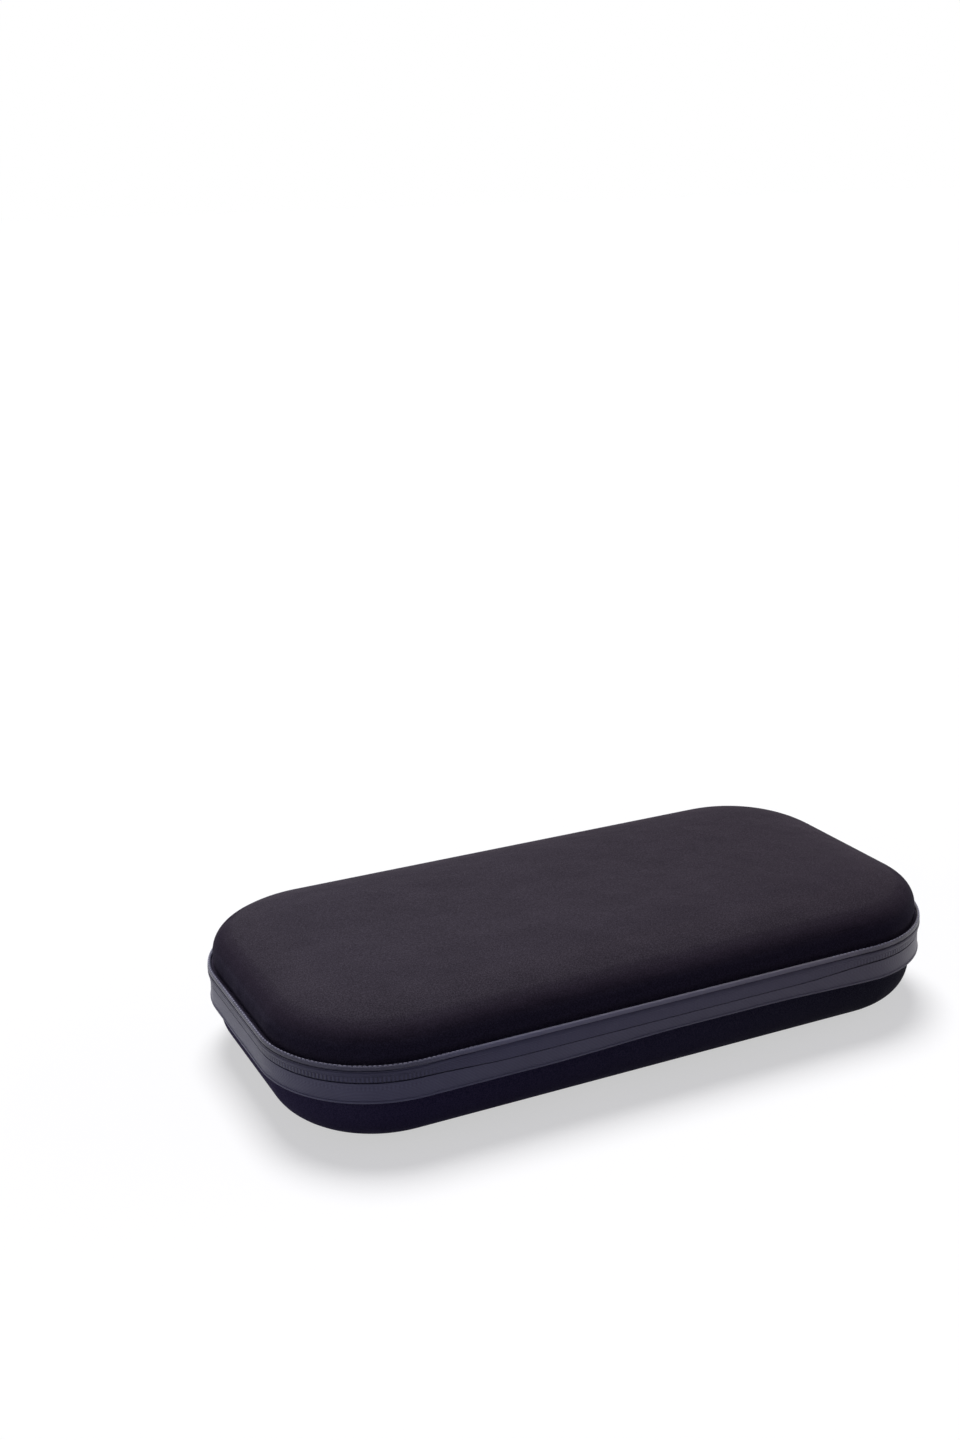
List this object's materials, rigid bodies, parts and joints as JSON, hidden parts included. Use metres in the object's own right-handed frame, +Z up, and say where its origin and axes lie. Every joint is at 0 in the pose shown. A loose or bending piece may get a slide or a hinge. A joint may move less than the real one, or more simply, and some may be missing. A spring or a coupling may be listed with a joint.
{
  "type": "zip-up hard case",
  "caption": "Moulded foam carrying case for a stethoscope: domed lid and tray joined by a zip band and a cloth hinge, with a net pocket inside.",
  "frame": {"origin": "middle of the flat underside of the base", "axes": "+X along the case's length, +Y towards the hinge, +Z up"},
  "size_m": [0.274, 0.14, 0.0525],
  "materials": {
    "foam": "closed-cell moulded foam",
    "lid_cloth": "fine matte knit over foam",
    "base_cloth": "fine matte knit over foam",
    "lining_cloth": "brushed knit lining",
    "binding_tape": "ribbed binding tape",
    "upper_zip_cloth": "woven zip tape",
    "lower_zip_cloth": "woven zip tape",
    "hem_cloth": "woven edge tape",
    "lip_cloth": "rolled cloth edge",
    "gusset_cloth": "woven strip",
    "zip_coil": "polyester coil",
    "stop_metal": "crimped, satin",
    "net": "warp-knit net",
    "elastic": "ribbed elastic",
    "slider_metal": "dark satin plating",
    "grip_rubber": "moulded soft grip"
  },
  "bodies": {
    "base": {"base_core": "foam", "base_cover": "base_cloth", "base_lining": "lining_cloth", "base_inner_binding": "binding_tape", "lower_zip_tape": "lower_zip_cloth", "lower_zip_coil": "zip_coil", "lower_hem": "hem_cloth", "lower_end_stops": "stop_metal", "retaining_band": "elastic", "hinge_gusset": "gusset_cloth"},
    "lid": {"lid_core": "foam", "lid_cover": "lid_cloth", "lid_lining": "lining_cloth", "lid_inner_binding": "binding_tape", "upper_zip_tape": "upper_zip_cloth", "upper_zip_coil": "zip_coil", "upper_rolled_lip": "lip_cloth", "upper_end_stops": "stop_metal", "pocket_net": "net", "pocket_elastic": "elastic"},
    "front_slider": {"front_slider_body": "slider_metal"},
    "front_pull": {"front_pull_blade": "slider_metal", "front_pull_grip": "grip_rubber"},
    "rear_slider": {"rear_slider_body": "slider_metal"},
    "rear_pull": {"rear_pull_blade": "slider_metal", "rear_pull_grip": "grip_rubber"}
  },
  "joints": [
    {"name": "lid_hinge", "type": "hinge", "parent": "base", "child": "lid", "pos_m": [0, 0.0702, 0.0278], "axis": [-1, 0, 0], "range_deg": [0, 180], "deforming": ["hinge_gusset"]},
    {"name": "front_slider_travel", "type": "slide", "parent": "base", "child": "front_slider", "axis": [0, -1, 0], "range_m": [0, 0.034]},
    {"name": "rear_slider_travel", "type": "hinge", "parent": "base", "child": "rear_slider", "pos_m": [0.091, 0.026, 0.0278], "axis": [0, 0, 1], "range_deg": [0, 25]},
    {"name": "front_pull_swing", "type": "hinge", "parent": "front_slider", "child": "front_pull", "pos_m": [0.13675, 0.01445, 0.0278], "axis": [0, 0, 1], "range_deg": [0, 150]},
    {"name": "rear_pull_swing", "type": "hinge", "parent": "rear_slider", "child": "rear_pull", "pos_m": [0.13675, 0.02545, 0.0278], "axis": [0, 0, -1], "range_deg": [0, 150]}
  ]
}
